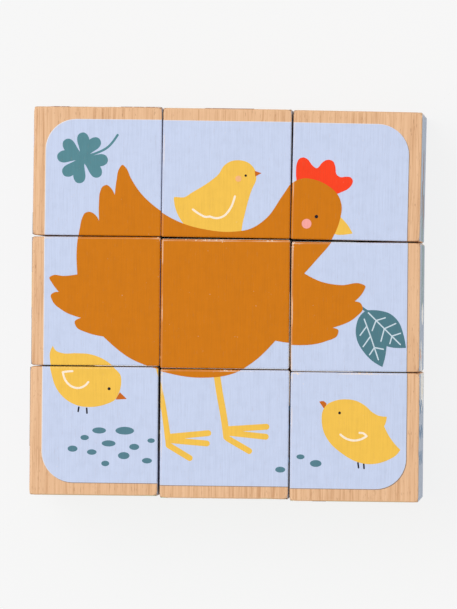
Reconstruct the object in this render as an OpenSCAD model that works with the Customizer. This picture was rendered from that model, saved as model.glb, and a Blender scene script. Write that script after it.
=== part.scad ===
// Picture cube puzzle: nine loose wooden cubes pushed together three by three, picture side up.
// The set lies flat on its bottom faces. +Z is up, +Y is the top of the picture, and the origin is
// under the middle of the set.

/* [Cubes] */
// Side of one wooden cube
cube_side = 40; // [30:0.5:60]
// Radius of the rounding along every edge of a cube
edge_radius = 0.5; // [0.3:0.1:4]

/* [Layout] */
// Nominal gap between neighbouring cubes as they lie pushed together
cube_gap = 0.45; // [0.3:0.05:3]
// How unevenly the cubes lie, where 0 is a perfect grid and 1 is as hands leave them
unevenness = 1; // [0:0.1:1]

/* [Hidden] */
$fn = 64;

// Distance from one cube's centre to the next
cube_pitch = cube_side + cube_gap;
// The unevenness grows with the gap, so neighbouring cubes stay clear of each other
gap_share = cube_gap * unevenness;

// How each cube lies off the grid, in shares of the gap: [to the right, to the back, how far a
// turn to the left carries the end of a face]. Rows run from the back of the set to its front, and
// columns from left to right. The back row fans out away from the set and the front row nearly
// does, so that cubes stay clear of each other as they roll outwards.
resting_places = [
    [[0.1, 0.7, 0], [-0.3, 0.3, -0.2], [-0.3, -0.6, -0.5]],
    [[0.1, 0.8, 0.2], [-0.2, -0.1, 0.1], [-0.1, -1.1, 0.1]],
    [[-0.2, 0.9, 0.15], [0.4, 0, 0.1], [0.4, -0.8, 0.1]]
];

// Outline of a cube seen square on: a square whose corners are arcs
module rounded_square() {
    straight = cube_side - 2 * edge_radius;
    corner = straight / 2;
    square([cube_side, straight], center = true);
    square([straight, cube_side], center = true);
    for (x = [-corner, corner], y = [-corner, corner])
        translate([x, y])
            circle(r = edge_radius);
}

// A bar of that outline, just as long as a cube is wide
module rounded_bar() {
    linear_extrude(height = cube_side, center = true)
        rounded_square();
}

// One solid wooden cube with every edge rounded, centred on the origin
module wooden_cube() {
    intersection() {
        rounded_bar();
        rotate([90, 0, 0])
            rounded_bar();
        rotate([0, 90, 0])
            rounded_bar();
    }
}

// A cube in its place in the set, row 0 at the back and column 0 on the left
module placed_cube(row, column) {
    place = resting_places[row][column] * gap_share;
    turn = atan(place[2] / (cube_side / 2));
    translate([
        (column - 1) * cube_pitch + place[0],
        (1 - row) * cube_pitch + place[1],
        cube_side / 2
    ])
        rotate([0, 0, turn])
            wooden_cube();
}

module back_left_block() {
    color("burlywood") placed_cube(0, 0);
}

module back_centre_block() {
    color("wheat") placed_cube(0, 1);
}

module back_right_block() {
    color("burlywood") placed_cube(0, 2);
}

module middle_left_block() {
    color("wheat") placed_cube(1, 0);
}

module centre_block() {
    color("burlywood") placed_cube(1, 1);
}

module middle_right_block() {
    color("wheat") placed_cube(1, 2);
}

module front_left_block() {
    color("burlywood") placed_cube(2, 0);
}

module front_centre_block() {
    color("wheat") placed_cube(2, 1);
}

module front_right_block() {
    color("burlywood") placed_cube(2, 2);
}

back_left_block();
back_centre_block();
back_right_block();
middle_left_block();
centre_block();
middle_right_block();
front_left_block();
front_centre_block();
front_right_block();
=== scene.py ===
import bpy
import math
import random
from mathutils import Matrix, Vector


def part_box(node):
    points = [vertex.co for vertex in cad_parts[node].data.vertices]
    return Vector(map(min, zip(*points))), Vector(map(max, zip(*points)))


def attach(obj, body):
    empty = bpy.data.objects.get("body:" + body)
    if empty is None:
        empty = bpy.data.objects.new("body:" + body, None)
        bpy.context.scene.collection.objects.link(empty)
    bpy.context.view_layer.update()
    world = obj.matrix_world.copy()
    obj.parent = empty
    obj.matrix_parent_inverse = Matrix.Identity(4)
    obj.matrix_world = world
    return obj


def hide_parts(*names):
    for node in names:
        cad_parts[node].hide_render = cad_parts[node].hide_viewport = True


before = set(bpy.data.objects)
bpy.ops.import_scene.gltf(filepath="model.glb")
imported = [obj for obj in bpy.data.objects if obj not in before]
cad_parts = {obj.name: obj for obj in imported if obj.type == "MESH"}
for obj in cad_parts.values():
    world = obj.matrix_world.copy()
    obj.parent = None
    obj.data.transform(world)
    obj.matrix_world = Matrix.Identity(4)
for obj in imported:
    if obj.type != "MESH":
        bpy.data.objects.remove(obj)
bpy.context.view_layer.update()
mm = 0.001

rowNames = ["back", "middle", "front"]
columnNames = ["left", "centre", "right"]


def bodyName(row, column):
    if row == 1 and column == 1:
        return "centre"
    return rowNames[row] + "_" + columnNames[column]


def pieceName(row, column, ending):
    first, *rest = bodyName(row, column).split("_")
    return first + "".join(word.capitalize() for word in rest) + ending


def deselectAll():
    if bpy.context.object and bpy.context.object.mode != "OBJECT":
        bpy.ops.object.mode_set(mode="OBJECT")
    bpy.ops.object.select_all(action="DESELECT")


def makeActive(piece):
    deselectAll()
    piece.select_set(True)
    bpy.context.view_layer.objects.active = piece


def applyModifiers(piece):
    makeActive(piece)
    for modifier in list(piece.modifiers):
        bpy.ops.object.modifier_apply(modifier=modifier.name)


def joinPieces(pieces, name):
    makeActive(pieces[0])
    for piece in pieces:
        piece.select_set(True)
    bpy.ops.object.join()
    joined = bpy.context.object
    joined.name = name
    joined.data.name = name
    return joined


class Shade:
    # a shader socket that can be used in sums

    def __init__(self, tree, socket=None):
        self.tree = tree
        self.socket = socket

    def node(self, kind, settings, inputs, output=0):
        made = self.tree.nodes.new(kind)
        for name, value in settings.items():
            setattr(made, name, value)
        for name, value in inputs.items():
            if isinstance(value, Shade):
                self.tree.links.new(value.socket, made.inputs[name])
            else:
                made.inputs[name].default_value = value
        return Shade(self.tree, made.outputs[output])

    def maths(self, operation, *values, clamp=False):
        settings = {"operation": operation, "use_clamp": clamp}
        return self.node("ShaderNodeMath", settings, dict(enumerate(values)))

    def __add__(self, other):
        return self.maths("ADD", self, other)

    def __radd__(self, other):
        return self.maths("ADD", other, self)

    def __sub__(self, other):
        return self.maths("SUBTRACT", self, other)

    def __rsub__(self, other):
        return self.maths("SUBTRACT", other, self)

    def __mul__(self, other):
        return self.maths("MULTIPLY", self, other)

    def __rmul__(self, other):
        return self.maths("MULTIPLY", other, self)

    def clamped(self):
        return self.maths("ADD", self, 0.0, clamp=True)

    # 0 below low, 1 above high, smooth between
    def step(self, low, high):
        inputs = {"Value": self, "From Min": low, "From Max": high}
        return self.node("ShaderNodeMapRange", {"interpolation_type": "SMOOTHSTEP"}, inputs)

    def stretched(self, scales):
        return self.node("ShaderNodeVectorMath", {"operation": "MULTIPLY"}, {0: self, 1: scales})

    def noise(self, scale=1.0, detail=2.0, roughness=0.5):
        inputs = {"Vector": self, "Scale": scale, "Detail": detail, "Roughness": roughness}
        return self.node("ShaderNodeTexNoise", {}, inputs)

    def blend(self, first, second):
        inputs = {0: self.clamped(), 6: first, 7: second}
        return self.node("ShaderNodeMix", {"data_type": "RGBA"}, inputs, output=2)

    def attribute(self, name, output="Vector"):
        return self.node("ShaderNodeAttribute", {"attribute_name": name}, {}, output=output)


def newMaterial(name):
    material = bpy.data.materials.new(name)
    material.use_nodes = True
    tree = material.node_tree
    return material, tree.nodes["Principled BSDF"], Shade(tree)


def feed(shader, name, value):
    value.tree.links.new(value.socket, shader.inputs[name])


def linear(red, green, blue):
    # a colour as a paint shop gives it, from 0 to 255, as the renderer wants it
    shares = [channel / 255 for channel in (red, green, blue)]
    return [s / 12.92 if s <= 0.04045 else ((s + 0.055) / 1.055) ** 2.4 for s in shares] + [1.0]


wood = {
    "pale": linear(239, 195, 154),
    "plain": linear(217, 169, 126),
    "dark": linear(184, 130, 88),
    "pore": linear(140, 92, 58),
    "endGrain": linear(206, 158, 112),
    "ringSpacing": 2.7,  # mm from one growth ring to the next
    "ringBend": 9.0,  # mm by which the rings wander
    "driftScale": (0.05, 0.008, 0.05),  # patterns in a mm across, along and across the fibres
    "bendScale": (0.11, 0.012, 0.11),
    "coarseScale": (1.9, 0.035, 1.9),
    "fibreScale": (4.6, 0.09, 4.6),
    "poreScale": (5.0, 0.42, 5.0),
    "poreLimits": (0.685, 0.74),  # of the noise that pores are the peaks of
    "coarseShare": 0.5,
    "fibreShare": 0.45,
    "lateShare": 0.22,
    "toneShift": 0.05,
    "darkFrom": 0.6,
    "driftShare": 0.3,
    "poreShare": 0.5,
    "endDepth": (0.5, 0.1),  # mm before the fibres' ends where the cut face's tone sets in
    "rubbedReach": (0.2, 0.9),  # mm from an edge
    "rubbedShare": 0.3,
    "roughness": 0.47,
    "fibreRoughness": 0.16,
    "relief": 0.05 * mm,
    "reliefStrength": 0.5,
    "poreRelief": 1.4,
    "specular": 0.25,
}


# The wood runs through a cube as it grew: treePlace is where a point lay in the tree, in mm, with
# the fibres along Y. It gives the colour of the bare wood, and the fibres and pores by themselves.
def woodGrain(shade):
    place = shade.attribute("treePlace")
    drift = place.stretched(wood["driftScale"]).noise(detail=1.0)
    bend = place.stretched(wood["bendScale"]).noise()
    fibres = place.stretched(wood["fibreScale"]).noise(detail=3.0, roughness=0.65)
    coarse = place.stretched(wood["coarseScale"]).noise()
    apart = shade.node("ShaderNodeSeparateXYZ", {}, {0: place}, output="X")
    rings = (apart + bend * wood["ringBend"]) * (1.0 / wood["ringSpacing"])
    rings = rings.maths("FRACT", rings)
    # a ring darkens towards its late wood and ends sharply
    late = rings.step(0.35, 0.95) - rings.step(0.95, 1.0)
    pores = place.stretched(wood["poreScale"]).noise(detail=1.0).step(*wood["poreLimits"])
    tone = coarse.step(0.25, 0.75) * wood["coarseShare"]
    tone = tone + fibres.step(0.3, 0.7) * wood["fibreShare"]
    tone = tone + late * wood["lateShare"] - wood["toneShift"]
    colour = tone.blend(wood["pale"], wood["plain"])
    darker = tone - wood["darkFrom"] + drift.step(0.35, 0.75) * wood["driftShare"]
    colour = darker.blend(colour, wood["dark"])
    colour = (pores * wood["poreShare"]).blend(colour, wood["pore"])
    return colour, fibres, pores


# Distance of a point from the nearest edge of its cube, in mm, and its place on the cube
def edgeDistance(shade, half):
    place = shade.attribute("cubePlace")
    sides = [shade.node("ShaderNodeSeparateXYZ", {}, {0: place}, output=axis) for axis in "XYZ"]
    x, y, z = [side.maths("ABSOLUTE", side) for side in sides]
    high = x.maths("MAXIMUM", x, y)
    low = x.maths("MINIMUM", x, y)
    middle = low.maths("MAXIMUM", low, high.maths("MINIMUM", high, z))
    return half - middle, sides


def woodMaterial(half):
    material, shader, shade = newMaterial("cubeWood")
    colour, fibres, pores = woodGrain(shade)
    edge, (_, along, _) = edgeDistance(shade, half)
    # the fibres' cut ends drink more of the finish and look darker
    start, full = wood["endDepth"]
    cut = along.maths("ABSOLUTE", along).step(half - start, half - full)
    speckle = shade.attribute("treePlace").noise(3.2)
    colour = (cut * (0.35 + speckle * 0.5)).blend(colour, wood["endGrain"])
    rubbed = (1.0 - edge.step(*wood["rubbedReach"])) * wood["rubbedShare"]
    colour = rubbed.blend(colour, wood["pale"])
    feed(shader, "Base Color", colour)
    feed(shader, "Roughness", wood["roughness"] + fibres * wood["fibreRoughness"])
    height = fibres - pores * wood["poreRelief"]
    relief = {"Strength": wood["reliefStrength"], "Distance": wood["relief"], "Height": height}
    feed(shader, "Normal", shade.node("ShaderNodeBump", {}, relief))
    shader.inputs["Specular IOR Level"].default_value = wood["specular"]
    return material


inks = {
    "sky": linear(203, 214, 240),
    "hen": linear(210, 121, 4),
    "chick": linear(247, 197, 80),
    "red": linear(253, 66, 28),
    "teal": linear(88, 138, 148),
    "pink": linear(250, 168, 160),
    "blush": linear(248, 186, 130),
    "cream": linear(255, 238, 214),
    "bill": linear(203, 104, 22),
    "black": linear(28, 24, 34),
    "vein": linear(206, 222, 232),
    "shade": linear(30, 26, 24),
    # pale of worn ink, also used for the painted highlight rim along the left and upper edges
    "thin": linear(246, 226, 206),
    # pale ink for the painted highlight along a ground's upper and left edges
    "primer": linear(236, 234, 238),
    # dark ink for the painted shadow along a ground's lower and right edges
    "pressed": linear(150, 126, 108),
    "slate": linear(80, 124, 136),
    "stone": linear(86, 129, 143),
    "straw": linear(245, 230, 186),
    "meadow": linear(204, 224, 192),
    "peach": linear(250, 218, 194),
    "pond": linear(178, 190, 208),
    "lilac": linear(217, 208, 234),
    "pig": linear(243, 172, 168),
    "rose": linear(224, 128, 134),
    "mud": linear(176, 132, 98),
    "milk": linear(251, 248, 242),
    "soot": linear(86, 68, 64),
    "brown": linear(154, 98, 62),
    "horn": linear(240, 220, 176),
    "wave": linear(118, 152, 184),
    "orange": linear(240, 146, 46),
    "fur": linear(164, 144, 130),
    "green": linear(96, 148, 98),
}

printFinish = {
    "fibreShare": 0.1,  # how far the grain and the pores show through the ink
    "poreShare": 0.12,
    "mottleShare": 0.03,
    "wearReach": (0.2, 1.4),  # mm from an edge
    "upperHighlightReach": (3.0, 1.5),  # mm from the back face, beside which the ink wears most, a painted highlight along the upper edge
    "wearLimits": (0.76, 0.82),  # of the noise that flecks are the peaks of
    "wearShare": 0.7,
    "paintedHighlightPlaces": (0.7, 0.5, 0.4, 0.2),  # mm from the edge where the painted highlight rim begins, is full and ends
    "roughness": 0.4,
    "mottleRoughness": 0.2,
    "relief": 0.04 * mm,
    "reliefStrength": 0.45,
    "specular": 0.12,
}


def inkMaterial(half):
    material, shader, shade = newMaterial("printedInk")
    bare, fibres, pores = woodGrain(shade)
    place = shade.attribute("treePlace")
    flat = shade.attribute("inkColour", output="Color")
    edge, (across, along, _) = edgeDistance(shade, half)
    # the grain shows through, and the ink lies a little uneven
    mottle = place.noise(0.35, detail=3.0)
    dimmed = fibres.step(0.3, 0.8) * printFinish["fibreShare"]
    dimmed = dimmed + mottle.step(0.4, 0.7) * printFinish["mottleShare"]
    colour = dimmed.blend(flat, inks["shade"])
    colour = (pores * printFinish["poreShare"]).blend(colour, bare)
    # ink is rubbed off in flecks along the edges; that they gather most along the upper edge is a
    # painted highlight of light from above
    patches = place.noise(0.1, detail=1.0).step(0.5, 0.66)
    flecks = place.noise(1.6)
    start, full = printFinish["upperHighlightReach"]
    upperHighlightWeight = 0.3 + along.step(half - start, half - full) * 0.7
    near = (1.0 - edge.step(*printFinish["wearReach"])) * upperHighlightWeight
    worn = (flecks + near * (0.05 + patches * 0.18)).step(*printFinish["wearLimits"])
    # painted highlight: the ink turns pale in a narrow rim along the left and upper edges, as if lit
    # from the upper left
    towardsLitEdges = along.maths("MAXIMUM", along, 0.0 - across)
    begins, full, fades, ends = [half - inset for inset in printFinish["paintedHighlightPlaces"]]
    paintedHighlightRim = towardsLitEdges.step(begins, full) - towardsLitEdges.step(fades, ends)
    # real wear flecks and the painted highlight rim, both blended towards the same pale
    thin = worn * printFinish["wearShare"] + paintedHighlightRim * (0.1 + patches * 0.45)
    feed(shader, "Base Color", thin.blend(colour, inks["thin"]))
    feed(shader, "Roughness", printFinish["roughness"] + mottle * printFinish["mottleRoughness"])
    relief = {"Strength": printFinish["reliefStrength"], "Distance": printFinish["relief"],
              "Height": fibres - pores - worn}
    feed(shader, "Normal", shade.node("ShaderNodeBump", {}, relief))
    shader.inputs["Specular IOR Level"].default_value = printFinish["specular"]
    return material


# Drawing is in mm on the finished picture, from its middle, with up towards its top
drawing = {
    "spacing": 0.5,  # mm between the points of a drawn curve
    "circlePoints": 36,
    "capPoints": 7,
    "puffPoints": 8,
    "puffDepth": 0.08,  # as a share of the whole shape
    "petals": 5,
    "petalReach": 1.9,
}


def distance(a, b):
    return math.hypot(b[0] - a[0], b[1] - a[1])


# A smooth run through points. An open run leaves out its last point, where the next one starts.
def smoothRun(points, closed=False):
    count = len(points)
    spans = count if closed else count - 1
    lengths = [distance(points[i], points[(i + 1) % count]) for i in range(spans)]
    slopes = []
    for i in range(spans):
        start, end = points[i], points[(i + 1) % count]
        slopes.append([(e - s) / lengths[i] for s, e in zip(start, end)])

    def tangent(i):
        if closed or 0 < i < count - 1:
            before, after = (i - 1) % spans, i % spans
            whole = lengths[before] + lengths[after]
            pairs = zip(slopes[before], slopes[after])
            return [(b * lengths[after] + a * lengths[before]) / whole for b, a in pairs]
        end = 0 if i == 0 else spans - 1
        beside = tangent(1 if i == 0 else count - 2) if spans > 1 else slopes[0]
        return [1.5 * s - 0.5 * t for s, t in zip(slopes[end], beside)]

    run = []
    for i in range(spans):
        start, end = points[i], points[(i + 1) % count]
        leave, arrive = tangent(i), tangent((i + 1) % count if closed else i + 1)
        steps = max(1, round(lengths[i] / drawing["spacing"])) if spans > 1 else 1
        for k in range(steps):
            t = k / steps
            weights = (2 * t**3 - 3 * t**2 + 1, (t**3 - 2 * t**2 + t) * lengths[i],
                       3 * t**2 - 2 * t**3, (t**3 - t**2) * lengths[i])
            parts = zip(start, leave, end, arrive)
            run.append(tuple(sum(w * p for w, p in zip(weights, part)) for part in parts))
    return run


# An outline of several runs that meet at corners; each run ends where the next one starts
def cornered(*runs):
    outline = []
    for run, following in zip(runs, runs[1:] + runs[:1]):
        outline += smoothRun(list(run) + [following[0]])
    return outline


def rounded(*points):
    return smoothRun(points, closed=True)


def oval(x, y, width, height=None, turn=0.0):
    height = height or width
    angles = [2 * math.pi * k / drawing["circlePoints"] for k in range(drawing["circlePoints"])]
    points = [(math.cos(a) * width / 2, math.sin(a) * height / 2) for a in angles]
    return moved(points, x, y, turn)


def moved(points, x, y, turn=0.0, size=1.0, flip=1):
    c, s = math.cos(math.radians(turn)) * size, math.sin(math.radians(turn)) * size
    return [(x + u * flip * c - v * s, y + u * flip * s + v * c) for u, v in points]


# A brush line with round ends along a smooth run of points
def brushLine(width, *points):
    path = smoothRun(points) + [points[-1]]

    def heading(i):
        start, end = path[max(i - 1, 0)], path[min(i + 1, len(path) - 1)]
        return math.atan2(end[1] - start[1], end[0] - start[0])

    def beside(i, turn):
        angle = heading(i) + turn
        return path[i][0] + math.cos(angle) * width / 2, path[i][1] + math.sin(angle) * width / 2

    last = len(path) - 1
    caps = [math.pi * (k / (drawing["capPoints"] + 1)) for k in range(1, drawing["capPoints"] + 1)]
    right = [beside(i, -math.pi / 2) for i in range(len(path))]
    left = [beside(i, math.pi / 2) for i in range(len(path))]
    ahead = [beside(last, turn - math.pi / 2) for turn in caps]
    behind = [beside(0, turn + math.pi / 2) for turn in caps]
    return right + ahead + left[::-1] + behind


panel = {
    "halfWidth": 56.5,
    "fullWidth": 64.0,  # reaches past the outer edges of the set
    "cornerRadius": 9.5,
    "cornerPoints": 10,
    "paintedShadowShift": (0.22, -0.2),
    "paintedHighlightShift": (-0.2, 0.12),
}


# The painted ground of a picture: a square with round corners
def ground(halfWidth=panel["halfWidth"]):
    middle = halfWidth - panel["cornerRadius"]
    outline = []
    for corner, (x, y) in enumerate([(1, 1), (-1, 1), (-1, -1), (1, -1)]):
        for k in range(panel["cornerPoints"] + 1):
            angle = math.pi / 2 * (corner + k / panel["cornerPoints"])
            outline.append((x * middle + math.cos(angle) * panel["cornerRadius"],
                            y * middle + math.sin(angle) * panel["cornerRadius"]))
    return outline


# The ground's ink over two copies of it: a pale one that lies a little up and to the left, a painted
# highlight along the ground's upper and left edges, and a dark one below and to the right, a painted
# shadow along its lower and right edges
def printedGround(ink):
    return [
        ("pressed", -0.8, moved(ground(), *panel["paintedShadowShift"])),
        ("primer", -0.4, moved(ground(), *panel["paintedHighlightShift"])),
        (ink, 0, ground()),
    ]


# Pictures are lists of (ink, layer, outline), where a higher layer lies over a lower one

def cloverLeaf(x, y, turn):
    side = [(0, 1.1), (1.4, 1.4), (2.7, 2.2), (3.9, 3.1), (4.95, 3.7), (6.1, 3.85), (7.1, 3.3),
            (7.6, 2.15), (7.2, 1.0)]
    other = [(u, -v) for u, v in reversed(side)]
    return moved(cornered(side, [(6.1, 0)] + other), x, y, turn)


def henPicture():
    shapes = printedGround("sky")
    # clover
    for turn in (70, 157, 242, 335):
        shapes.append(("teal", 1, cloverLeaf(-45.1, 44.5, turn)))
    shapes.append(("teal", 1, brushLine(
        0.7, (-44.5, 45), (-41, 46), (-37.5, 47.75), (-34.25, 51.75))))
    # hen, from the tip of her tail along the back, round head, wing and belly to the tail again
    shapes.append(("hen", 2, cornered(
        [(-34.9, 33.1), (-34.4, 37.7), (-33.6, 41.3), (-32.6, 42.5), (-31.6, 41.7), (-30, 38.5),
         (-27, 34), (-22.5, 29.75), (-13, 24.5), (-5.75, 22.75), (2, 22.25),
         (8.25, 23.5), (12.5, 26.5), (17.75, 34), (20.5, 37.75), (23.75, 39.25), (27.25, 39),
         (31.5, 37.25), (35, 34), (36, 31), (35.5, 26.5), (33.25, 20.75), (28.25, 14.5)],
        [(24.5, 10.25), (29.75, 7.75), (36.25, 6.75), (42, 7.25), (43.5, 6.5), (43, 5)],
        [(40.25, 1.75), (42, 1.25), (42.75, -0.5), (40.75, -3)],
        [(33.5, -6.5), (35.25, -7.25), (35, -8.75), (31.25, -10.75), (22, -12)],
        [(15.75, -11.25), (9.5, -17.5), (3.5, -21.25), (-8.5, -23), (-19.5, -21.25), (-29, -18)],
        [(-38, -11), (-43.25, -9.75), (-46.5, -8), (-47, -6.5)],
        [(-45, -5.25), (-50.75, -3), (-54, 0), (-54.5, 1.75), (-53, 2.75)],
        [(-52, 2.75), (-54.25, 5.75), (-55, 7.25), (-54, 7.9), (-50.5, 7.75)],
        [(-46.25, 8.25), (-46.5, 16.25), (-45.7, 22.6), (-45, 25.8), (-44.1, 27.4), (-42.9, 27.8),
         (-41.6, 27.4), (-40.5, 26.4)],
        [(-39.7, 25), (-39.8, 30.9), (-39.5, 34), (-38.6, 35.8), (-37.5, 36.2), (-36, 35.1)])))
    shapes.append(("red", 1, cornered(
        [(21.9, 38), (21.6, 41.7), (21.8, 43.8), (22.5, 45.3), (23.7, 45.8), (24.9, 45.4),
         (26.8, 43.2), (27.9, 42.5), (29.8, 44.4), (30.9, 45.1), (32, 45.2), (33.1, 44.7), (33.7, 43.4),
         (34.4, 40.5), (35.5, 39.9), (37.2, 40.1), (38.6, 39.9), (39.3, 39), (39, 37.6), (38, 36.4),
         (36.4, 35.5)],
        [(34, 34.5), (28, 37)])))
    shapes.append(("chick", 1, cornered(
        [(34, 29), (36.6, 26.7), (38.1, 25), (39, 23.6)],
        [(39.6, 22.5), (33.5, 22.6)])))
    shapes.append(("black", 3, oval(28.25, 27.5, 1.1)))
    shapes.append(("pink", 3, oval(25.25, 25.25, 3.0)))
    # legs; the left one doesn't run on where two cubes meet, and its top is a shape by itself
    shapes.append(("chick", 1, [(-21.4, -20), (-20.2, -20), (-20.2, -24.6)]))
    shapes.append(("chick", 1, cornered(
        [(-20.3, -22.8), (-19.3, -27.1), (-18.5, -30.6), (-17.9, -34), (-17.3, -37.5), (-16.9, -40)],
        [(-16.6, -42)],
        [(-17.2, -44.2), (-18, -44.3), (-18.3, -43), (-18.6, -41), (-19.05, -37.5), (-19.6, -34),
         (-20.1, -31)],
        [(-20.3, -29)])))
    shapes.append(("chick", 1, brushLine(
        2.05, (-2.7, -20.5), (-1.7, -27.1), (-0.4, -34), (0.3, -38.3), (0.7, -41.3))))
    toes = [
        (-17.4, -41.5, -5, -40.2), (-17, -42.5, -5.4, -43.4), (-17.3, -44.1, -10.7, -48),
        (1.2, -38.9, 13.1, -38), (1.2, -40, 12.9, -41.1), (1.1, -41.8, 7.8, -45.6)]
    for x, y, endX, endY in toes:
        shapes.append(("chick", 1, brushLine(1.85, (x, y), (endX, endY))))
    # chick on her back
    shapes.append(("chick", 1, rounded(
        (3.5, 44.5), (6.75, 43.75), (9, 41.25), (9.25, 38.5), (8, 35.5), (7, 32.25), (5.5, 26),
        (4, 20), (-6, 20), (-13.5, 25), (-15.25, 28), (-16.1, 31), (-16.1, 32.75), (-15, 32.75),
        (-13, 32.75), (-11, 34), (-4.5, 38.25), (-2.5, 40), (-0.75, 42.75), (1, 44))))
    shapes.append(("bill", 1, [(8.75, 41.25), (10.9, 40.6), (9, 39.5)]))
    shapes.append(("black", 3, oval(6, 39.75, 0.75)))
    shapes.append(("blush", 3, oval(3.75, 38.75, 1.9)))
    shapes.append(("cream", 3, brushLine(0.65, (-10.25, 29), (-8, 27.5), (-6.25, 26.75), (-4.9, 26.9))))
    shapes.append(("cream", 3, brushLine(
        0.65, (-4.9, 26.9), (-3, 26.4), (-0.75, 27), (1.25, 29.25), (2.75, 33.25))))
    # chick that leans forward, on the left
    shapes.append(("chick", 1, cornered(
        [(-53.75, -14), (-52.75, -15.5), (-50.75, -16.25), (-46.5, -16.25), (-42.25, -16.5),
         (-39, -17.5), (-34, -21), (-32.25, -23), (-32, -25.5), (-32.75, -28.75), (-34, -30.75),
         (-36.5, -32), (-41.25, -33), (-45.75, -32.5), (-49.5, -30.5), (-52.25, -27.25),
         (-53.75, -23), (-54.5, -19), (-54.6, -16)])))
    shapes.append(("bill", 1, [(-32.4, -28.3), (-30.2, -30.4), (-33.7, -30.6)]))
    shapes.append(("black", 3, oval(-35.75, -27.25, 0.95)))
    shapes.append(("cream", 3, brushLine(0.65, (-47.25, -21.9), (-48.75, -22), (-50.25, -22.25))))
    shapes.append(("cream", 3, brushLine(
        0.65, (-50.25, -22.25), (-49.25, -25), (-47.25, -26.75), (-45, -27.1), (-43.5, -26.5),
        (-42.25, -25.25))))
    shapes.append(("black", 1, brushLine(0.5, (-45.15, -33.1), (-45.35, -34.4))))
    shapes.append(("black", 1, brushLine(0.5, (-42.7, -33.4), (-42.6, -34.9))))
    # chick that looks back, on the right
    shapes.append(("chick", 1, cornered(
        [(50.4, -34), (50.2, -35.5)],
        [(49.6, -37), (51, -39.75), (53, -42.5)],
        [(54.7, -44.2), (53.4, -45.9), (51.25, -47.25), (47.75, -48.5), (44.5, -48.75), (41, -48),
         (36.5, -45.5), (33.25, -42.75), (31, -39.25), (30.25, -35.75), (30.5, -32.5), (31.75, -30.5),
         (34.25, -29.25), (37.75, -28.75), (41, -29.25), (43.75, -30.75), (46, -32.75),
         (48, -33.75)])))
    shapes.append(("bill", 1, cornered(
        [(31.75, -30.25), (30.75, -29.4)], [(29.4, -29.6)], [(31, -31.9)])))
    shapes.append(("black", 3, oval(35.75, -33, 0.85)))
    shapes.append(("cream", 3, brushLine(
        0.65, (36.1, -39.7), (37.6, -40.8), (40.3, -41.5), (42.7, -41), (44.2, -40.1))))
    shapes.append(("cream", 3, brushLine(0.65, (44.2, -40.1), (43.1, -39.2), (42, -39.1))))
    shapes.append(("black", 1, brushLine(0.5, (41.6, -48.4), (41.8, -49.9))))
    shapes.append(("black", 1, brushLine(0.5, (43.4, -48.7), (43.5, -50.1))))
    # sprig of two leaves
    shapes.append(("slate", 1, brushLine(0.8, (42.25, 0), (43.25, -0.75), (44.5, -1.5))))
    shapes.append(("slate", 1, cornered(
        [(43.75, -1), (47.5, -1), (51.25, -2), (53.9, -4.5), (55.4, -8.25)],
        [(56.25, -12.5), (50.25, -12)], [(46, -9)])))
    shapes.append(("slate", 1, cornered(
        [(43.75, -1), (41.75, -3), (40.75, -6), (41, -10), (43.25, -14), (46, -16.75)],
        [(49, -18.5), (49.9, -15)], [(50.25, -12)])))
    veins = [
        (44.5, -1.75, 54.5, -11.5), (47, -4.1, 49.75, -3.25), (46.9, -4.1, 45.75, -7.25),
        (49.6, -6.6, 53, -5), (49.5, -6.6, 48.5, -10.5), (51.9, -8.9, 54.5, -8),
        (51.9, -8.9, 51.25, -11.25), (43.25, -3.75, 45.25, -9), (45.25, -9, 47.75, -16.25),
        (44, -6, 42, -8.75), (45.25, -9, 43, -12.25), (46.5, -12.5, 45, -14.75),
        (46.5, -12.5, 49.25, -13)]
    for x, y, endX, endY in veins:
        shapes.append(("vein", 3, brushLine(0.4, (x, y), (endX, endY))))
    # pebbles: x, y, width, height
    pebbles = [
        (-38.75, -40.25, 4.3, 1.9), (-30.75, -40.25, 5.8, 2.4), (-43.25, -42.5, 2.6, 1.6),
        (-35.75, -44.25, 4.3, 1.9), (-22.5, -43.25, 2.3, 1.4), (-27.75, -45.25, 3.1, 1.9),
        (-47, -46, 3.1, 1.9), (-41, -47, 3, 1.7), (-31, -48, 3.6, 2.2), (-36.75, -50.5, 2.5, 1.7),
        (-23.75, -49.5, 3.1, 1.7), (17.5, -51.25, 3.1, 1.8), (23.75, -46.75, 2.5, 1.5),
        (28.5, -48.75, 3.6, 2.1)]
    for x, y, width, height in pebbles:
        shapes.append(("stone", 1, oval(x, y, width, height)))
    return shapes


# A round shape with a puffy outline, as wool and tree tops have
def woolly(x, y, width, height, puffs):
    outline = []
    count = puffs * drawing["puffPoints"]
    depth = drawing["puffDepth"]
    for k in range(count):
        angle = 2 * math.pi * k / count
        swell = 1 - depth + depth * abs(math.sin(puffs * angle / 2))
        across, up = math.cos(angle) * width / 2, math.sin(angle) * height / 2
        outline.append((x + across * swell, y + up * swell))
    return outline


def grassTuft(x, y):
    blades = [(-2.4, 4.2), (0, 6), (2.6, 4.4)]
    return [("green", 1, brushLine(0.9, (x, y), (x + u, y + v))) for u, v in blades]


def flower(x, y, petals):
    shapes = []
    for k in range(drawing["petals"]):
        angle = 360 / drawing["petals"] * k + 18
        [middle] = moved([(drawing["petalReach"], 0)], x, y, angle)
        shapes.append((petals, 1, oval(*middle, 3, 2.2, angle)))
    return shapes + [("orange", 2, oval(x, y, 2.2))]


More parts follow.
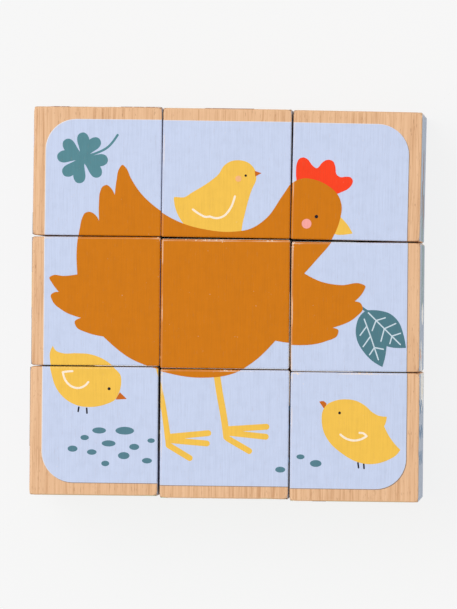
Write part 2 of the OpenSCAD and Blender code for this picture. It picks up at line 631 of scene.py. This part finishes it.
def pigPicture():
    shapes = printedGround("straw")
    shapes.append(("mud", 1, rounded(
        (-50, -45), (-20, -41), (10, -42), (38, -40), (50, -44.5), (30, -49), (0, -48), (-30, -51))))
    for x in (-14, -1, 22, 35):
        shapes.append(("rose" if x in (-1, 35) else "pig", 2, brushLine(9, (x, -14), (x, -39))))
    # the tail curls over itself, in two strokes
    shapes.append(("rose", 1, brushLine(1.7, (44, 4), (49, 8), (52.5, 5), (50, 1.5))))
    shapes.append(("rose", 1, brushLine(1.7, (50, 1.5), (47.5, 5.5), (50, 11), (53.5, 13))))
    shapes.append(("pig", 3, rounded(
        (-20, 20), (0, 26), (24, 25), (42, 13), (46.5, -5), (39, -21), (14, -27), (-10, -25),
        (-26, -12))))
    shapes.append(("rose", 3, cornered([(-22, 21), (-15, 30)], [(-13, 37), (-24, 36), (-31, 25)])))
    shapes.append(("pig", 4, oval(-29, 7, 40, 37)))
    shapes.append(("rose", 4, cornered([(-44, 20), (-47, 30)], [(-44, 38), (-36, 34), (-31, 24)])))
    shapes.append(("rose", 5, oval(-42, 1, 15, 13, 10)))
    shapes.append(("soot", 6, oval(-44.5, 1.5, 1.7, 3.6)))
    shapes.append(("soot", 6, oval(-39.5, 2, 1.7, 3.6)))
    shapes.append(("black", 6, oval(-38, 13, 2)))
    shapes.append(("black", 6, oval(-27, 14, 2)))
    shapes.append(("pink", 5, oval(-24, 6, 6)))
    shapes.append(("milk", 5, brushLine(0.9, (10, 2), (16, -3), (24, -3), (29, 3))))
    for x, y in ((44, 44), (20, 40), (-46, -24)):
        shapes += flower(x, y, "milk")
    for x, y in ((-6, 44), (50, -26), (-30, 46)):
        shapes += grassTuft(x, y)
    return shapes


def sheepPicture():
    shapes = printedGround("meadow")
    for x in (-15, -4, 18, 29):
        shapes.append(("soot", 1, brushLine(5.5, (x, -14), (x, -39))))
    shapes.append(("milk", 2, woolly(46, 6, 15, 13, 6)))
    shapes.append(("milk", 3, woolly(5, 3, 86, 58, 14)))
    shapes.append(("soot", 4, cornered([(-22, 16), (-13, 17)], [(-10, 11), (-19, 7)])))
    shapes.append(("soot", 4, rounded(
        (-34, 24), (-24, 22), (-20, 8), (-26, -8), (-36, -14), (-45, -9), (-47, 6), (-42, 19))))
    shapes.append(("milk", 5, woolly(-31, 24, 25, 15, 8)))
    shapes.append(("milk", 5, oval(-40, 6, 4.4)))
    shapes.append(("milk", 5, oval(-29, 6, 4.4)))
    shapes.append(("black", 6, oval(-40.6, 5.6, 2.2)))
    shapes.append(("black", 6, oval(-29.6, 5.6, 2.2)))
    shapes.append(("pink", 5, oval(-38, -8, 5, 3)))
    shapes.append(("straw", 4, brushLine(0.9, (2, 6), (8, 1), (15, 3), (18, 9))))
    shapes.append(("straw", 4, brushLine(0.9, (20, -8), (26, -12), (33, -9), (35, -3))))
    for x, y in ((-50, -44), (-30, -49), (-6, -48), (24, -50), (44, -45), (4, -44)):
        shapes += grassTuft(x, y)
    for x, y in ((-44, 44), (44, -34), (38, 45), (-48, -26), (10, -51)):
        shapes += flower(x, y, "pink")
    return shapes


def cowPicture():
    shapes = printedGround("peach")
    for x in (-14, -2, 24, 37):
        shapes.append(("milk", 1, brushLine(7.5, (x, -14), (x, -40))))
        shapes.append(("soot", 2, brushLine(7.6, (x, -41.5), (x, -43))))
    shapes.append(("soot", 1, brushLine(1.8, (45, 14), (51, 6), (51, -8), (48, -16))))
    shapes.append(("brown", 2, oval(47.5, -19, 5.5, 9, -12)))
    shapes.append(("pink", 1, oval(27, -24, 17, 11)))
    shapes.append(("milk", 3, rounded(
        (-22, 21), (8, 23), (38, 22), (47, 12), (46, -12), (36, -21), (4, -24), (-20, -19), (-27, 0))))
    shapes.append(("brown", 4, rounded((-8, 20), (8, 21), (12, 8), (4, -2), (-8, 3), (-12, 12))))
    shapes.append(("brown", 4, rounded((26, 4), (38, 10), (43, -2), (36, -14), (24, -12), (20, -4))))
    for x, turn in ((-50, 150), (-20, 25)):
        shapes.append(("brown", 3, oval(x, 22, 15, 7, turn)))
    for x, tip in ((-41, -45), (-29, -25)):
        shapes.append(("horn", 3, brushLine(3.4, (x, 26), (tip, 31), (tip, 37))))
    shapes.append(("milk", 5, rounded(
        (-44, 29), (-26, 29), (-20, 18), (-23, 2), (-28, -12), (-42, -12), (-47, 2), (-50, 18))))
    shapes.append(("brown", 6, rounded((-30, 28), (-22, 24), (-21, 12), (-27, 8), (-32, 15), (-33, 23))))
    shapes.append(("pink", 6, oval(-35, -8, 24, 15)))
    shapes.append(("soot", 7, oval(-39.5, -6, 2, 3)))
    shapes.append(("soot", 7, oval(-30.5, -6, 2, 3)))
    shapes.append(("black", 7, oval(-41, 13, 2.2)))
    shapes.append(("black", 7, oval(-27.5, 13, 2.2)))
    for x, y in ((-48, -40), (-30, -48), (10, -47), (48, -46), (6, 44)):
        shapes += grassTuft(x, y)
    for x, y in ((44, 42), (22, 36), (-46, -22), (30, -50)):
        shapes += flower(x, y, "milk")
    return shapes


def swimmer(ink, x, y, size, flip):
    def at(points):
        return moved(points, x, y, size=size, flip=flip)

    return [
        ("orange", 1, at(cornered([(36, 27), (44, 26), (50, 22.5)], [(52, 20), (44, 18.5), (36, 18)]))),
        (ink, 2, at(cornered(
            [(-40, 8), (-32, 4), (-16, 5), (2, 8), (12, 14), (15, 26), (22, 34), (32, 34), (39, 27),
             (38, 16), (36, 6), (39, -8), (32, -22), (12, -30), (-12, -30), (-30, -22), (-38, -8)]))),
        ("black", 3, at(oval(31, 25, 2.4))),
        ("pink", 3, at(oval(26, 18.5, 5.5))),
        ("horn", 3, at(brushLine(1.3, (-22, -4), (-14, -12), (0, -15), (14, -10), (18, 0)))),
    ]


def duckPicture():
    shapes = [("pond", 0, ground(panel["fullWidth"]))]  # the one ground that leaves no bare wood
    for x, top in ((33, 34), (40, 44), (47, 30)):
        shapes.append(("green", 1, brushLine(1.5, (x, 0), (x + 1.5, 16), (x, top - 4))))
        shapes.append(("brown", 2, oval(x, top, 4, 11)))
    shapes += swimmer("milk", -16, -4, 0.88, -1)
    shapes += swimmer("milk", 43, -22, 0.34, -1)
    for y, start in ((-31, -50), (-39, -46), (-47, -50)):
        swell = [(start + 8 * k, y + (1.5 if k % 2 else -1.5)) for k in range(13)]
        shapes.append(("wave", 4, brushLine(1.4, *swell)))
    for x, y in ((-42, 45), (6, 40), (44, -2)):
        shapes.append(("milk", 1, woolly(x, y, 15, 7, 6)))
    return shapes


def rabbitPicture():
    shapes = printedGround("lilac")
    shapes.append(("milk", 1, woolly(37, -32, 17, 16, 8)))
    shapes.append(("fur", 2, rounded(
        (-22, -38), (-28, -20), (-20, -2), (-4, 6), (14, 2), (30, -12), (36, -30), (28, -42), (0, -44))))
    for x, y, turn in ((-27, 38, 8), (-12, 37, -14)):
        shapes.append(("fur", 2, oval(x, y, 11, 34, turn)))
        shapes.append(("pink", 3, oval(x, y - 1, 5.5, 25, turn)))
    shapes.append(("fur", 4, oval(-21, 11, 38, 33)))
    shapes.append(("horn", 5, oval(-24, 3.5, 17, 12)))
    shapes.append(("rose", 6, cornered([(-26.5, 8)], [(-21.5, 8)], [(-24, 5.5)])))
    shapes.append(("soot", 6, brushLine(0.6, (-24, 5.5), (-24, 2.5))))
    shapes.append(("black", 6, oval(-31, 14, 2.4)))
    shapes.append(("black", 6, oval(-15, 14, 2.4)))
    shapes.append(("pink", 5, oval(-10, 7, 6)))
    for y, rise in ((5, 1.5), (3, -1.5)):
        shapes.append(("soot", 6, brushLine(0.4, (-32, y), (-42, y + rise))))
        shapes.append(("soot", 6, brushLine(0.4, (-16, y), (-5, y + rise))))
    shapes.append(("fur", 3, oval(-14, -42, 20, 9)))
    shapes.append(("horn", 4, brushLine(1.0, (24, -40), (12, -38), (6, -28), (12, -18), (22, -17))))
    shapes.append(("fur", 3, oval(16, -42, 30, 9)))
    shapes.append(("orange", 3, cornered([(-50, -42), (-44, -36), (-37, -30), (-32, -28)],
                                         [(-30, -32), (-36, -38), (-43, -42)])))
    for x, y in ((-27, -22), (-24, -26), (-30, -21)):
        shapes.append(("green", 4, brushLine(1.2, (-31, -30), (x, y))))
    for x, y in ((46, 20), (28, 40), (-48, -14), (46, -12)):
        shapes += flower(x, y, "milk")
    for x, y in ((48, -50), (-48, -52), (36, 8), (8, 44)):
        shapes += grassTuft(x, y)
    return shapes


cube = {
    "side": 40 * mm,
    "rounding": 0.5 * mm,
    "printGap": 0.45 * mm,  # the pictures run on across the gaps
    "inkStep": 0.02 * mm,  # height from one layer of ink to the next
    "inkDepth": 0.1 * mm,
    "cutTolerance": 0.0001 * mm,
    "cornerCuts": (22.5, 45.0, 67.5),  # how the ink's corners are rounded off, in degrees
    "wrapSteps": 3,
    "topWrap": math.radians(62),  # how far down the rounded edges the ink of a face reaches
    "sideWrap": math.radians(25),
}
half = cube["side"] / 2
flatHalf = half - cube["rounding"]
pitch = cube["side"] + cube["printGap"]


# One shape as a flat sheet at its layer's height, with its ink on it
def flatShape(ink, layer, outline, order):
    bpy.ops.mesh.primitive_circle_add(vertices=len(outline), radius=half, fill_type="NGON")
    shape = bpy.context.object
    # neighbours in one layer never lie level
    height = cube["inkStep"] * (layer + 1 + order % 9 / 10)
    for vertex, (x, y) in zip(shape.data.vertices, outline):
        vertex.co = (x * mm, y * mm, height)
    shape.data.update()
    if shape.data.polygons[0].normal.z < 0:
        shape.data.flip_normals()
    bpy.ops.object.mode_set(mode="EDIT")
    bpy.ops.mesh.select_all(action="SELECT")
    bpy.ops.mesh.quads_convert_to_tris(quad_method="BEAUTY", ngon_method="BEAUTY")
    bpy.ops.object.mode_set(mode="OBJECT")
    colour = shape.data.attributes.new("inkColour", "FLOAT_COLOR", "FACE")
    for face in colour.data:
        face.color = inks[ink]
    return shape


def pictureSheet(name, shapes):
    return joinPieces([flatShape(*shape, order) for order, shape in enumerate(shapes)], name)


def bisect(point, normal, clear=False):
    bpy.ops.mesh.select_all(action="SELECT")
    bpy.ops.mesh.bisect(
        plane_co=point, plane_no=normal, clear_outer=clear, threshold=cube["cutTolerance"])


# The part of a sheet that falls on one cube, cut to its face and bent down over the rounded edges
def printedFace(sheet, row, column, wrapAngle, short):
    makeActive(sheet)
    bpy.ops.object.duplicate()
    part = bpy.context.object
    part.data.transform(Matrix.Translation(((1 - column) * pitch, (row - 1) * pitch, 0)))
    radius = cube["rounding"]
    reach = radius * math.sin(wrapAngle)
    bpy.ops.object.mode_set(mode="EDIT")
    sides = [Vector((1, 0, 0)), Vector((0, 1, 0)), Vector((-1, 0, 0)), Vector((0, -1, 0))]
    for side in sides:
        bisect(side * (flatHalf + reach - (short if side.x < 0 else 0)), side, clear=True)
    for corner in range(4):
        middle = (sides[corner] + sides[(corner + 1) % 4]) * flatHalf
        for turn in cube["cornerCuts"]:
            angle = math.radians(90 * corner + turn)
            outwards = Vector((math.cos(angle), math.sin(angle), 0))
            bisect(middle + outwards * reach, outwards, clear=True)
    for side in sides:
        for k in range(cube["wrapSteps"]):
            bend = radius * math.sin(wrapAngle * k / cube["wrapSteps"])
            bisect(side * (flatHalf + bend), side)
    bpy.ops.object.mode_set(mode="OBJECT")
    for vertex in part.data.vertices:
        x, y, height = vertex.co
        past = Vector((max(abs(x) - flatHalf, 0), max(abs(y) - flatHalf, 0)))
        drop = math.sqrt(max(radius**2 - past.length_squared, 0))
        outwards = Vector((math.copysign(past.x, x), math.copysign(past.y, y), drop)) / radius
        foot = Vector((x, y, half - radius + drop))
        vertex.co = foot + outwards * height
    return part


# How the six pictures lie on a cube: (right, up, outwards) of each picture. A cube that is rolled
# about X or Y always shows the next picture upright.
faceTurns = {
    "top": ((1, 0, 0), (0, 1, 0), (0, 0, 1)),
    "right": ((0, 0, -1), (0, 1, 0), (1, 0, 0)),
    "left": ((0, 0, 1), (0, 1, 0), (-1, 0, 0)),
    "front": ((1, 0, 0), (0, 0, 1), (0, -1, 0)),
    "back": ((1, 0, 0), (0, 0, -1), (0, 1, 0)),
    "bottom": ((1, 0, 0), (0, -1, 0), (0, 0, -1)),
}


# Where a print stops short of its cube's left edge and leaves a strip of bare wood
shortPrints = {("middle_right", "top"): 0.2 * mm}


def cubePlacement(row, column):
    node = bodyName(row, column) + "_block"
    low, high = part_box(node)
    centre = (Vector(low) + Vector(high)) / 2
    across = Vector((0, 0, 0))
    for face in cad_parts[node].data.polygons:
        if face.normal.x > 0.9:
            across += face.normal * face.area
    turn = math.atan2(across.y, across.x)
    return Matrix.Translation(centre) @ Matrix.Rotation(turn, 4, "Z")


plank = {
    "seed": 11,
    "reach": 400,  # mm
    "lean": 35,  # degrees by which the growth rings may be turned in a cube
}


# Where each cube was sawn from the plank, so that no two show the same grain
def sawnFrom(row, column):
    random.seed(3 * row + column + plank["seed"])
    offset = Vector([random.uniform(-plank["reach"], plank["reach"]) for _ in range(3)])
    lean = math.radians(random.uniform(-plank["lean"], plank["lean"]))
    return Matrix.Translation(offset) @ Matrix.Rotation(lean, 4, "Y")


# Writes a finished piece's places on the cube and in the tree, in mm, then puts it in the set
def placePiece(piece, row, column):
    tree = sawnFrom(row, column)
    onCube = piece.data.attributes.new("cubePlace", "FLOAT_VECTOR", "POINT")
    inTree = piece.data.attributes.new("treePlace", "FLOAT_VECTOR", "POINT")
    for vertex, cubePoint, treePoint in zip(piece.data.vertices, onCube.data, inTree.data):
        cubePoint.vector = vertex.co / mm
        treePoint.vector = tree @ (vertex.co / mm)
    piece.matrix_world = cubePlacement(row, column)
    makeActive(piece)
    bpy.ops.object.transform_apply()


def cubePrint(row, column, sheets, material):
    parts = []
    for side, sheet in sheets.items():
        wrapAngle = cube["topWrap"] if side == "top" else cube["sideWrap"]
        short = shortPrints.get((bodyName(row, column), side), 0)
        # the lowest picture is whole when the set is turned over, so its rows run the other way
        part = printedFace(sheet, 2 - row if side == "bottom" else row, column, wrapAngle, short)
        right, up, outwards = faceTurns[side]
        part.data.transform(Matrix((right, up, outwards)).transposed().to_4x4())
        parts.append(part)
    piece = joinPieces(parts, pieceName(row, column, "Print"))
    film = piece.modifiers.new("film", "SOLIDIFY")
    film.thickness = cube["inkDepth"]
    film.offset = -1
    applyModifiers(piece)
    piece.data.materials.clear()
    piece.data.materials.append(material)
    placePiece(piece, row, column)
    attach(piece, bodyName(row, column))


block = {
    "cuts": 24,
    "sharpAngle": math.radians(60),
    "edgeSegments": 5,
    "seed": 2,
    "dents": 9,
    "dentDepth": (0.04 * mm, 0.1 * mm),
    "dentReach": (1.4 * mm, 2.4 * mm),
    "cornerReach": 1.6 * mm,
    "cornerDepth": 0.5 * mm,  # how far the corners are blunted by use
}


def woodenBlock(row, column, material):
    deselectAll()
    bpy.ops.mesh.primitive_cube_add(size=cube["side"])
    piece = bpy.context.object
    piece.name = pieceName(row, column, "Block")
    bpy.ops.object.mode_set(mode="EDIT")
    bpy.ops.mesh.select_all(action="SELECT")
    bpy.ops.mesh.subdivide(number_cuts=block["cuts"])
    bpy.ops.mesh.select_all(action="DESELECT")
    bpy.ops.mesh.select_mode(type="EDGE")
    bpy.ops.mesh.edges_select_sharp(sharpness=block["sharpAngle"])
    bpy.ops.mesh.bevel(offset=cube["rounding"], segments=block["edgeSegments"], profile=0.5)
    bpy.ops.mesh.select_mode(type="VERT")
    bpy.ops.object.mode_set(mode="OBJECT")
    # small dents along the edges, as cubes that knock together get
    random.seed(5 * row + column + block["seed"])
    for _ in range(block["dents"]):
        along = [random.choice((-half, half)) for _ in range(3)]
        along[random.randrange(3)] = random.uniform(-half, half)
        spot = Vector(along)
        depth = random.uniform(*block["dentDepth"])
        reach = random.uniform(*block["dentReach"]) + cube["rounding"]
        for vertex in piece.data.vertices:
            share = 1 - (vertex.co - spot).length / reach
            if share > 0:
                vertex.co -= vertex.co.normalized() * depth * min(1, share * 2)
    # the eight corners are blunted
    reach = block["cornerReach"]
    for vertex in piece.data.vertices:
        share = min(max(abs(c) - half + reach, 0) for c in vertex.co) / reach
        vertex.co -= vertex.co.normalized() * share**2 * block["cornerDepth"]
    bpy.ops.object.shade_smooth()
    piece.data.materials.append(material)
    placePiece(piece, row, column)
    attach(piece, bodyName(row, column))
    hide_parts(bodyName(row, column) + "_block")


studio = {
    "floorSize": 6.0,
    "floorDrop": 0.2 * mm,  # the ink under the cubes has a thickness
    "floorRoughness": 0.9,
    "floorShade": 0.1,  # how much of the light the floor gives back
    "floorGlow": 0.825,  # the rest is its own, so that shadows on it stay faint
    "openReach": 0.05,  # the floor glows only where it is open to the sky this far round
    "openLimits": (0.05, 0.35),
    "overhead": 0.9,  # brightness of the sky straight up, and low down
    "horizon": 0.23,
    "skyLimits": (0.2, 0.8),  # heights between which the one turns into the other
    "boxPower": 20.0,
    "boxSize": 1.6,
    "boxPlace": (-1.1, 0.7, 1.7),
}

camera = {
    "place": (0.112, 0.0, 1.6),
    "aim": (0.0010, -0.0002, 0.040),
    "roll": math.radians(0.7),
    "seenHeight": 0.189,  # of the top faces' plane
    "sensorHeight": 36,
    "farthest": 20,
}


def makeFloor():
    bpy.ops.mesh.primitive_plane_add(size=studio["floorSize"], location=(0, 0, -studio["floorDrop"]))
    floor = bpy.context.object
    floor.name = "floor"
    material, shader, shade = newMaterial("paleFloor")
    shader.inputs["Base Color"].default_value = [studio["floorShade"]] * 3 + [1.0]
    shader.inputs["Roughness"].default_value = studio["floorRoughness"]
    shader.inputs["Specular IOR Level"].default_value = 0.0
    shader.inputs["Emission Strength"].default_value = studio["floorGlow"]
    reach = {"Distance": studio["openReach"]}
    opened = shade.node("ShaderNodeAmbientOcclusion", {}, reach, output="AO")
    glow = opened.step(*studio["openLimits"])
    feed(shader, "Emission Color", glow.blend((0, 0, 0, 1), (1, 1, 1, 1)))
    floor.data.materials.append(material)


def makeLight():
    world = bpy.data.worlds.new("studio")
    world.use_nodes = True
    sky = world.node_tree.nodes["Background"]
    sky.inputs["Color"].default_value = (1, 1, 1, 1)
    shade = Shade(world.node_tree)
    direction = shade.node("ShaderNodeTexCoord", {}, {}, output="Generated")
    height = shade.node("ShaderNodeSeparateXYZ", {}, {0: direction}, output="Z")
    height = height.step(*studio["skyLimits"])
    feed(sky, "Strength", height * (studio["overhead"] - studio["horizon"]) + studio["horizon"])
    bpy.context.scene.world = world
    bpy.ops.object.light_add(type="AREA", location=studio["boxPlace"])
    box = bpy.context.object
    box.name = "softBox"
    box.data.size = studio["boxSize"]
    box.data.energy = studio["boxPower"]
    box.rotation_euler = (-Vector(studio["boxPlace"])).to_track_quat("-Z", "Y").to_euler()


def makeCamera():
    place, aim = Vector(camera["place"]), Vector(camera["aim"])
    bpy.ops.object.camera_add(location=place)
    eye = bpy.context.object
    back = (place - aim).normalized()
    right = Vector((0, 1, 0)).cross(back).normalized()
    looking = Matrix((right, back.cross(right), back)).transposed().to_4x4()
    eye.matrix_world = Matrix.Translation(place) @ looking @ Matrix.Rotation(camera["roll"], 4, "Z")
    eye.data.sensor_fit = "VERTICAL"
    eye.data.sensor_height = camera["sensorHeight"]
    eye.data.lens = camera["sensorHeight"] * (aim - place).length / camera["seenHeight"]
    eye.data.clip_end = camera["farthest"]
    bpy.context.scene.camera = eye


deselectAll()
makeCamera()
makeFloor()
makeLight()
bpy.context.scene.view_settings.view_transform = "Standard"
print("stage set")

sheets = {
    "top": pictureSheet("henSheet", henPicture()),
    "right": pictureSheet("duckSheet", duckPicture()),
    "left": pictureSheet("rabbitSheet", rabbitPicture()),
    "front": pictureSheet("sheepSheet", sheepPicture()),
    "back": pictureSheet("cowSheet", cowPicture()),
    "bottom": pictureSheet("pigSheet", pigPicture()),
}
print("pictures drawn")

woodFinish = woodMaterial(half / mm)
inkFinish = inkMaterial(half / mm)
for row in range(3):
    for column in range(3):
        woodenBlock(row, column, woodFinish)
        cubePrint(row, column, sheets, inkFinish)
    print(rowNames[row], "row of cubes made and printed")

for sheet in sheets.values():
    bpy.data.objects.remove(sheet)
